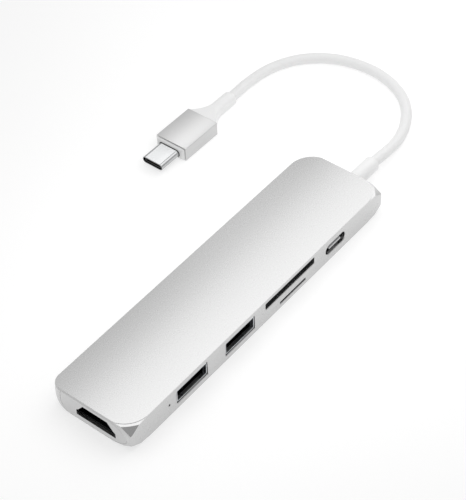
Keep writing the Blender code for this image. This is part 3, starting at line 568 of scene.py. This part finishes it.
def body():
    shell = lofted("aluminium_body", body_rings(), BODY_ALUMINIUM)
    ceiling = BODY_HEIGHT - ROOF
    shell = carved(shell, [], [end_chamfers()], "INTERSECT")
    tools = []

    def tool(name, outline, start, end, axis):
        tools.append(extruded(name, outline, start, end, axis, BODY_ALUMINIUM))

    cavity = round_rectangle((0, 0), 2 * (HALF_LENGTH - END_WALL), 2 * (HALF_WIDTH - SIDE_WALL), 6 * MM)
    tool("cavity", cavity, -MM, ceiling, "Z")
    seat = round_rectangle((0, 0), 2 * (HALF_LENGTH - LID_INSET), 2 * (HALF_WIDTH - SIDE_WALL), LID_RADIUS)
    tool("lid_seat", seat, -MM, LID_SEAT, "Z")
    for sign in (-1, 1):
        tool(f"plate_seat_{sign}", end_outline(PLATE_RIM, sign), sign * (HALF_LENGTH + MM),
             sign * (HALF_LENGTH - PLATE_DEPTH), "X")
    window = round_rectangle((HDMI_Y, 2.3 * MM + 2.75 * MM), 15.6 * MM, 6.1 * MM, 0.2 * MM, 2)
    tool("hdmi_window", window, -HALF_LENGTH, -HALF_LENGTH + END_WALL + MM, "X")
    tool("cable_window", circle((CABLE_Y, CABLE_Z), 2.6 * MM, 32), HALF_LENGTH, HALF_LENGTH - END_WALL - MM, "X")
    ports = [((x, USB_A_Z), *USB_A_CUT, 0.35 * MM, 6, 0.2 * MM) for x in USB_A_X]
    ports.append(((SD_X, SD_Z), *SD_CUT, 0.35 * MM, 6, 0.18 * MM))
    ports.append(((MICRO_X, MICRO_Z), *MICRO_CUT, 0.3 * MM, 6, 0.14 * MM))
    ports.append(((USB_C_X, USB_C_Z), *USB_C_CUT, 0.98 * USB_C_CUT[1] / 2, 12, 0.2 * MM))
    ports.append(((LED_X, LED_Z), LED_HOLE, LED_HOLE, 0.49 * LED_HOLE, 6, 0.04 * MM))
    for number, (centre, width, height, radius, steps, flare) in enumerate(ports):
        rings = [[(a, y, b) for a, b in round_rectangle(centre, width + 2 * wider, height + 2 * wider,
                                                        radius + wider, steps)]
                 for wider, y in ((flare, -HALF_WIDTH - MM), (flare, -HALF_WIDTH), (0, -HALF_WIDTH + flare),
                                  (0, -HALF_WIDTH + SIDE_WALL + 0.2 * MM))]
        tools.append(lofted(f"port_{number}", rings, BODY_ALUMINIUM))
    posts = []
    for number, centre in enumerate(BOSSES):
        posts.append(extruded(f"post_{number}", circle(centre, 1.6 * MM, 24), PCB_TOP + GAP,
                              ceiling + ROOF / 2, "Z", BODY_ALUMINIUM))
    shell = carved(shell, tools)
    holes = [extruded(f"post_hole_{i}", circle(c, 0.9 * MM, 16), PCB_TOP - MM, ceiling, "Z", BODY_ALUMINIUM)
             for i, c in enumerate(BOSSES)]
    shell = carved(shell, holes, posts)
    softened(shell, EDGE, 2, 32, 18)
    return placed(shell, "aluminium_body", "top_shell")


def lid_and_plates():
    outline = round_rectangle((0, 0), 2 * (HALF_LENGTH - LID_INSET - PLATE_GAP),
                              2 * (HALF_WIDTH - SIDE_WALL - PLATE_GAP), LID_RADIUS - PLATE_GAP, 12)
    lid = extruded("underside_lid", outline, 0, 0.9 * MM, "Z", PLATE_ALUMINIUM)
    placed(softened(lid, 0.12 * MM), "aluminium_body", "bottom_lid")
    inset = PLATE_RIM + PLATE_SEAM
    inner = HALF_LENGTH - PLATE_DEPTH + PLATE_GAP
    video_plate = extruded("end_plate_video", end_outline(inset, -1), -HALF_LENGTH, -inner, "X", PLATE_ALUMINIUM)
    hole = extruded("hdmi_hole", hdmi_outline(HDMI_Y, HDMI_BOTTOM, *HDMI_CUT), -HALF_LENGTH - MM, -inner + MM,
                    "X", PLATE_ALUMINIUM)
    carved(video_plate, [hole])
    placed(softened(video_plate, 0.13 * MM), "aluminium_body", "end_plate_hdmi")
    cable_plate = extruded("end_plate_lead", end_outline(inset, 1), inner, HALF_LENGTH, "X", PLATE_ALUMINIUM)
    hole = extruded("cable_hole", circle((CABLE_Y, CABLE_Z), 2.5 * MM, 40), inner - MM, HALF_LENGTH + MM, "X",
                    PLATE_ALUMINIUM)
    carved(cable_plate, [hole])
    placed(softened(cable_plate, 0.13 * MM), "aluminium_body", "end_plate_cable")


# ---- contacts and springs inside the sockets
def socket_details():
    front = SOCKET_FRONT
    for number, x in enumerate(USB_A_X, 1):
        under = USB_A_Z + 2.85 * MM - 0.3 * MM - 0.7 * MM - 1.8 * MM
        path = [(front + 1.7 * MM, under + 0.05 * MM), (front + 2.4 * MM, under - 0.1 * MM),
                (front + 3.2 * MM, under - 0.4 * MM), (front + 4.2 * MM, under - 0.12 * MM),
                (front + 9.5 * MM, under - 0.06 * MM)]
        pins = ribbons(f"usb_a_contacts_{number}", [x + d * MM for d in (-3.5, -1.0, 1.0, 3.5)], path,
                       1.0 * MM, 0.16 * MM, "Y", GOLD)
        placed(pins, "steel")
        floor = USB_A_Z - 2.85 * MM + 0.3 * MM
        path = [(front + 2.0 * MM, floor + 0.1 * MM), (front + 3.2 * MM, floor + 0.45 * MM),
                (front + 4.4 * MM, floor + 0.62 * MM), (front + 5.6 * MM, floor + 0.4 * MM),
                (front + 7.6 * MM, floor + 0.1 * MM)]
        # The spring tabs take the steel that is darkened as painted shade.
        tabs = ribbons(f"usb_a_spring_tabs_{number}", [x - 2.9 * MM, x + 2.9 * MM], path, 1.9 * MM, 0.18 * MM,
                       "Y", SOCKET_SHADE_STEEL)
        placed(tabs, "steel")
        lip_front = -HALF_WIDTH + 0.3 * MM
        lip = extruded(f"usb_a_lip_{number}", round_rectangle((x, USB_A_Z), 13.7 * MM, 4.7 * MM, 0.4 * MM),
                       lip_front, front + 0.1 * MM, "Y", SHEET_STEEL)
        mouth = extruded("mouth", round_rectangle((x, USB_A_Z), 13.1 * MM, 4.1 * MM, 0.2 * MM), lip_front - MM,
                         front + MM, "Y", SHEET_STEEL)
        placed(softened(carved(lip, [mouth]), 0.06 * MM), "steel")
    for side, name in ((1, "upper"), (-1, "lower")):
        level = USB_C_Z + side * 0.36 * MM
        path = [(front + 0.9 * MM, level), (front + 2.6 * MM, level), (front + 4.6 * MM, level)]
        pins = ribbons(f"usb_c_contacts_{name}", [USB_C_X + (i - 5.5) * 0.5 * MM for i in range(12)], path,
                       0.25 * MM, 0.06 * MM, "Y", GOLD)
        placed(pins, "steel")
    tongue_low, tongue_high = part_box("usb_c_tongue")
    centre = (USB_C_X, (tongue_low[2] + tongue_high[2]) / 2)
    outline = round_rectangle(centre, tongue_high[0] - tongue_low[0] - 0.6 * MM, 0.8 * MM, 0.2 * MM)
    tip = extruded("usb_c_tongue_tip", outline, -HALF_WIDTH + 0.35 * MM, tongue_low[1] + 0.1 * MM, "Y", TONGUE_GREY)
    placed(softened(tip, 0.1 * MM), "grey_plastic")
    hdmi_front = -HALF_LENGTH + PLATE_DEPTH + GAP
    middle = 2.3 * MM + 2.75 * MM
    for side, count, name in ((1, 9, "upper"), (-1, 10, "lower")):
        level = middle + side * 0.63 * MM
        path = [(hdmi_front + 1.5 * MM, level), (hdmi_front + 4.0 * MM, level), (hdmi_front + 7.5 * MM, level)]
        centres = [HDMI_Y + (i - (count - 1) / 2) * 1.0 * MM for i in range(count)]
        placed(ribbons(f"hdmi_contacts_{name}", centres, path, 0.45 * MM, 0.08 * MM, "X", GOLD), "steel")
    floor = 4.95 * MM
    path = [(-4.4 * MM, floor + 0.08 * MM), (-2.6 * MM, floor + 0.6 * MM), (-1.8 * MM, floor + 0.75 * MM),
            (-1.0 * MM, floor + 0.6 * MM), (1.2 * MM, floor + 0.1 * MM)]
    placed(ribbons("card_contacts", [SD_X + (i - 4) * 2.5 * MM for i in range(9)], path, 1.3 * MM, 0.14 * MM,
                   "Y", GOLD), "steel")


# ---- collar, plug and boot
COLLAR_RADIUS = 2.75 * MM
COLLAR_END = HALF_LENGTH + 12.0 * MM
PLUG_Y, PLUG_HEIGHT, PLUG_WIDTH = 57.0 * MM, 5.4 * MM, 12.85 * MM
PLUG_Z = PLUG_HEIGHT / 2
PLUG_FRONT, PLUG_BACK = 41.75 * MM, 58.6 * MM
PLUG_WALL = 0.7 * MM
NOSE = 1.0 * MM
PLUG_SHELL = (8.65 * MM, 2.6 * MM, 12.7 * MM)
PLUG_SHELL_TIP = 31.9 * MM
# Painted shade: a thin black ring round the steel shell's root stands in for the shadowed gap between shell and
# nose.
SHADE_RING_WIDTH, SHADE_RING_GAP = 0.3 * MM, 0.02 * MM         # the dark ring round the shell's root: outer and inner play
BOOT_FLARE = 7.6 * MM
BOOT_END = 74.3 * MM
TURN_STEPS = 64


def collar():
    """The moulded collar round the cable where it leaves the body."""
    inner = HALF_LENGTH - END_WALL - GAP
    outside = HALF_LENGTH + 0.12 * MM
    profile = [(inner - 1.5 * MM, 3.2 * MM), (inner, 3.2 * MM), (inner, 2.25 * MM), (outside, 2.25 * MM)]
    profile += arc((outside + 0.25 * MM, COLLAR_RADIUS - 0.25 * MM), 0.25 * MM, 180, 90, 4)
    profile += arc((COLLAR_END - MM, COLLAR_RADIUS - MM), MM, 90, 12, 8)
    profile += [(COLLAR_END - 0.04 * MM, CORD_RADIUS + 0.22 * MM), (COLLAR_END - 0.2 * MM, CORD_RADIUS + 0.1 * MM),
                (COLLAR_END - 1.0 * MM, CORD_RADIUS + 0.06 * MM)]
    turns = [math.tau * i / TURN_STEPS for i in range(TURN_STEPS)]
    rings = [[(x, CABLE_Y + r * math.cos(turn), CABLE_Z + r * math.sin(turn)) for turn in turns] for x, r in profile]
    made = lofted("cable_collar", rings, MOULD_WHITE)
    made.data.shade_smooth()
    made.data.set_sharp_from_angle(angle=math.radians(50))
    return placed(made, "white_cable", "hub_strain_relief")


def section(x, width, height, radius, steps=12):
    return [(x, a, b) for a, b in round_rectangle((PLUG_Y, PLUG_Z), width, height, radius, steps)]


def plug():
    centre = (PLUG_Y, PLUG_Z)
    bore_width, bore_height = PLUG_WIDTH - 2 * PLUG_WALL, PLUG_HEIGHT - 2 * PLUG_WALL
    sleeve = extruded("plug_sleeve_shell", round_rectangle(centre, PLUG_WIDTH, PLUG_HEIGHT, 0.45 * MM), PLUG_FRONT,
                      PLUG_BACK, "X", SLEEVE_ALUMINIUM)
    bore = extruded("bore", round_rectangle(centre, bore_width, bore_height, 0.3 * MM), PLUG_FRONT - MM,
                    PLUG_BACK + MM, "X", SLEEVE_ALUMINIUM)
    carved(sleeve, [bore])
    placed(softened(sleeve, 0.14 * MM), "plug_aluminium", "plug_sleeve")

    inner_width, inner_height = bore_width - 2 * GAP, bore_height - 2 * GAP
    nose_rings = [section(PLUG_FRONT + 4 * MM, inner_width, inner_height, 0.3 * MM),
                  section(PLUG_FRONT - 0.04 * MM, inner_width, inner_height, 0.3 * MM),
                  section(PLUG_FRONT - 0.04 * MM, PLUG_WIDTH - 0.9 * MM, PLUG_HEIGHT - 0.9 * MM, 0.5 * MM)]
    for i in range(1, 9):
        angle = math.pi / 2 * i / 8
        back = 1 - math.cos(angle)
        nose_rings.append(section(PLUG_FRONT - 0.04 * MM - (NOSE - 0.04 * MM) * math.sin(angle),
                                  PLUG_WIDTH - 0.9 * MM - 2.3 * MM * back, PLUG_HEIGHT - 0.9 * MM - 1.3 * MM * back,
                                  0.5 * MM + 0.35 * MM * back))
    nose = lofted("plug_nose", nose_rings, NOSE_GREY)
    width, height, depth = PLUG_SHELL
    hole = round_rectangle(centre, width + 0.14 * MM, height + 0.14 * MM, 0.49 * (height + 0.14 * MM), 12)
    carved(nose, [extruded("nose_hole", hole, PLUG_FRONT - 2 * MM, PLUG_FRONT + 5 * MM, "X", NOSE_GREY)])
    placed(softened(nose, 0.06 * MM, 2, 50, 40), "grey_plastic", "plug_front_insert")

    tip = PLUG_SHELL_TIP
    shell = extruded("plug_steel_shell", round_rectangle(centre, width, height, 0.49 * height, 14), tip, tip + depth,
                     "X", PLUG_STEEL)
    hollow = round_rectangle(centre, width - 0.5 * MM, height - 0.5 * MM, 0.49 * (height - 0.5 * MM), 14)
    carved(shell, [extruded("plug_hollow", hollow, tip - MM, tip + depth + MM, "X", PLUG_STEEL)])
    softened(shell, 0.1 * MM, 3, 50, 40)
    for face in shell.data.polygons:
        face.use_smooth = abs(face.normal.z) < 0.999
    placed(shell, "steel", "plug_shell")
    around, within = (round_rectangle(centre, width + gap, height + gap, 0.49 * height, 14)
                      for gap in (SHADE_RING_WIDTH, SHADE_RING_GAP))
    root = PLUG_FRONT - NOSE
    # Painted shade: this black ring is the shadow in the gap at the shell's root, not a real part.
    seat = extruded("plug_root_shade_ring", around, root - 0.12 * MM, root + 0.3 * MM, "X", BLACK)
    carved(seat, [extruded("shade_ring_hole", within, PLUG_FRONT - 5 * MM, PLUG_FRONT + 5 * MM, "X", BLACK)])
    placed(seat, "black_plastic")
    for side, name in ((1, "upper"), (-1, "lower")):
        level = PLUG_Z + side * 0.33 * MM
        path = [(tip + 0.9 * MM, level + side * 0.03 * MM), (tip + 1.8 * MM, level - side * 0.1 * MM),
                (tip + 5.2 * MM, level)]
        centres = [PLUG_Y + (i - 5.5) * 0.5 * MM for i in range(12)]
        placed(ribbons(f"plug_contacts_{name}", centres, path, 0.24 * MM, 0.06 * MM, "X", GOLD), "steel")

    rings = [section(PLUG_BACK - 2.2 * MM, inner_width, inner_height, 0.3 * MM),
             section(PLUG_BACK + 0.1 * MM, inner_width, inner_height, 0.3 * MM)]
    flare_start = PLUG_BACK + 0.1 * MM
    steps = 26
    for i in range(steps + 1):
        t = i / steps
        half_width = COLLAR_RADIUS - 0.1 * MM + (PLUG_WIDTH / 2 - 2.95 * MM) * (1 - t) ** 2
        half_height = 2.45 * MM + 0.2 * MM * t
        radius = min(half_height, 0.6 * MM + 2.2 * MM * t) * 0.98
        rings.append(section(flare_start + BOOT_FLARE * t, 2 * half_width, 2 * half_height, radius))
    end_radius = 2.65 * MM
    for x, radius in arc((BOOT_END - 0.9 * MM, end_radius - 0.9 * MM), 0.9 * MM, 90, 12, 8):
        rings.append(section(x, 2 * radius, 2 * radius, 0.98 * radius))
    for x, radius in ((BOOT_END - 0.04 * MM, CORD_RADIUS + 0.2 * MM), (BOOT_END - 0.2 * MM, CORD_RADIUS + 0.1 * MM),
                      (BOOT_END - 1.0 * MM, CORD_RADIUS + 0.06 * MM)):
        rings.append(section(x, 2 * radius, 2 * radius, 0.98 * radius))
    boot = lofted("plug_boot_mould", rings, MOULD_WHITE)
    boot.data.shade_smooth()
    boot.data.set_sharp_from_angle(angle=math.radians(50))
    placed(boot, "white_cable", "plug_boot")


body()
lid_and_plates()
socket_details()
collar()
plug()

on_cord = [bpy.data.objects[n] for n in ("cable_collar", "plug_boot_mould", "plug_sleeve_shell", "plug_nose",
                                         "plug_steel_shell", "plug_root_shade_ring", "plug_contacts_upper",
                                         "plug_contacts_lower")]
on_cord += [NODES[n] for n in ("plug_contact_carrier", "plug_paddle_card", "plug_marker_chip")]


# ---- floor, world and light
def stage():
    floor = mesh_object("floor", [(-3, -3, -0.00002), (3, -3, -0.00002), (3, 3, -0.00002), (-3, 3, -0.00002)],
                        [[0, 1, 2, 3]], bpy.data.materials.new("plain_floor"))
    made = floor.data.materials[0]
    made.use_nodes = True
    shader = made.node_tree.nodes["Principled BSDF"]
    shader.inputs["Base Color"].default_value = (FLOOR_SHADE, FLOOR_SHADE, FLOOR_SHADE, 1)
    shader.inputs["Roughness"].default_value = 0.9
    shader.inputs["Specular IOR Level"].default_value = 0.0
    shader.inputs["Emission Color"].default_value = (1, 1, 1, 1)
    shader.inputs["Emission Strength"].default_value = FLOOR_GLOW


def world():
    """An even pale room, darker low down behind the viewer; the background itself is plain."""
    made = bpy.data.worlds.new("pale_room")
    bpy.context.scene.world = made
    made.use_nodes = True
    tree = made.node_tree
    tree.nodes.clear()
    direction = tree.nodes.new("ShaderNodeTexCoord")
    dot = tree.nodes.new("ShaderNodeVectorMath")
    dot.operation = "DOT_PRODUCT"
    dot.inputs[1].default_value = DARK_DIRECTION
    link(tree, direction.outputs["Generated"], dot.inputs[0])
    factor = tree.nodes.new("ShaderNodeMapRange")
    factor.interpolation_type = "SMOOTHSTEP"
    factor.inputs["From Min"].default_value, factor.inputs["From Max"].default_value = DARK_EDGE
    link(tree, dot.outputs["Value"], factor.inputs["Value"])
    shade = blend_colours(tree, factor.outputs["Result"], (ROOM,) * 3, (DARK_ROOM,) * 3)
    room = tree.nodes.new("ShaderNodeBackground")
    link(tree, shade, room.inputs["Color"])
    plain = tree.nodes.new("ShaderNodeBackground")
    plain.inputs["Color"].default_value = (1, 1, 1, 1)
    path = tree.nodes.new("ShaderNodeLightPath")
    mix = tree.nodes.new("ShaderNodeMixShader")
    link(tree, path.outputs["Is Camera Ray"], mix.inputs["Fac"])
    link(tree, room.outputs["Background"], mix.inputs[1])
    link(tree, plain.outputs["Background"], mix.inputs[2])
    out = tree.nodes.new("ShaderNodeOutputWorld")
    link(tree, mix.outputs["Shader"], out.inputs["Surface"])


def softbox(name, low, high, height, radiance):
    """A level light that faces down, from one corner to the other; the viewer doesn't see it."""
    width, depth = high[0] - low[0], high[1] - low[1]
    data = bpy.data.lights.new(name, "AREA")
    data.shape, data.size, data.size_y = "RECTANGLE", width, depth
    data.energy = radiance * math.pi * width * depth
    made = bpy.data.objects.new(name, data)
    made.location = ((low[0] + high[0]) / 2, (low[1] + high[1]) / 2, height)
    made.visible_camera = False
    bpy.context.scene.collection.objects.link(made)


FLOOR_SHADE, FLOOR_GLOW = 0.5, 0.57
ROOM, DARK_ROOM = 0.66, 0.44
DARK_DIRECTION = (-0.52, -0.56, 0.64)
DARK_EDGE = (0.45, 0.90)
LIGHT_HEIGHT = 0.10

BODY_LIGHT, PLUG_LIGHT, SHELL_LIGHT, CORD_LIGHT = 0.94, 1.6, 1.1, 1.0
CORD_LIGHT_HEIGHT = 1.2 * LIGHT_HEIGHT

stage()
world()
softbox("body_softbox", (-0.085, -0.040), (0.33, 0.060), LIGHT_HEIGHT, BODY_LIGHT)
softbox("plug_softbox", (0.085, 0.099), (0.15, 0.1265), LIGHT_HEIGHT, PLUG_LIGHT)
softbox("shell_softbox", (0.096, 0.1265), (0.1205, 0.142), LIGHT_HEIGHT, SHELL_LIGHT)
softbox("cord_softbox", (0.03, -0.14), (0.12, -0.04), CORD_LIGHT_HEIGHT, CORD_LIGHT)

bpy.context.scene.view_settings.view_transform = "Standard"
bpy.context.scene.view_settings.look = "None"
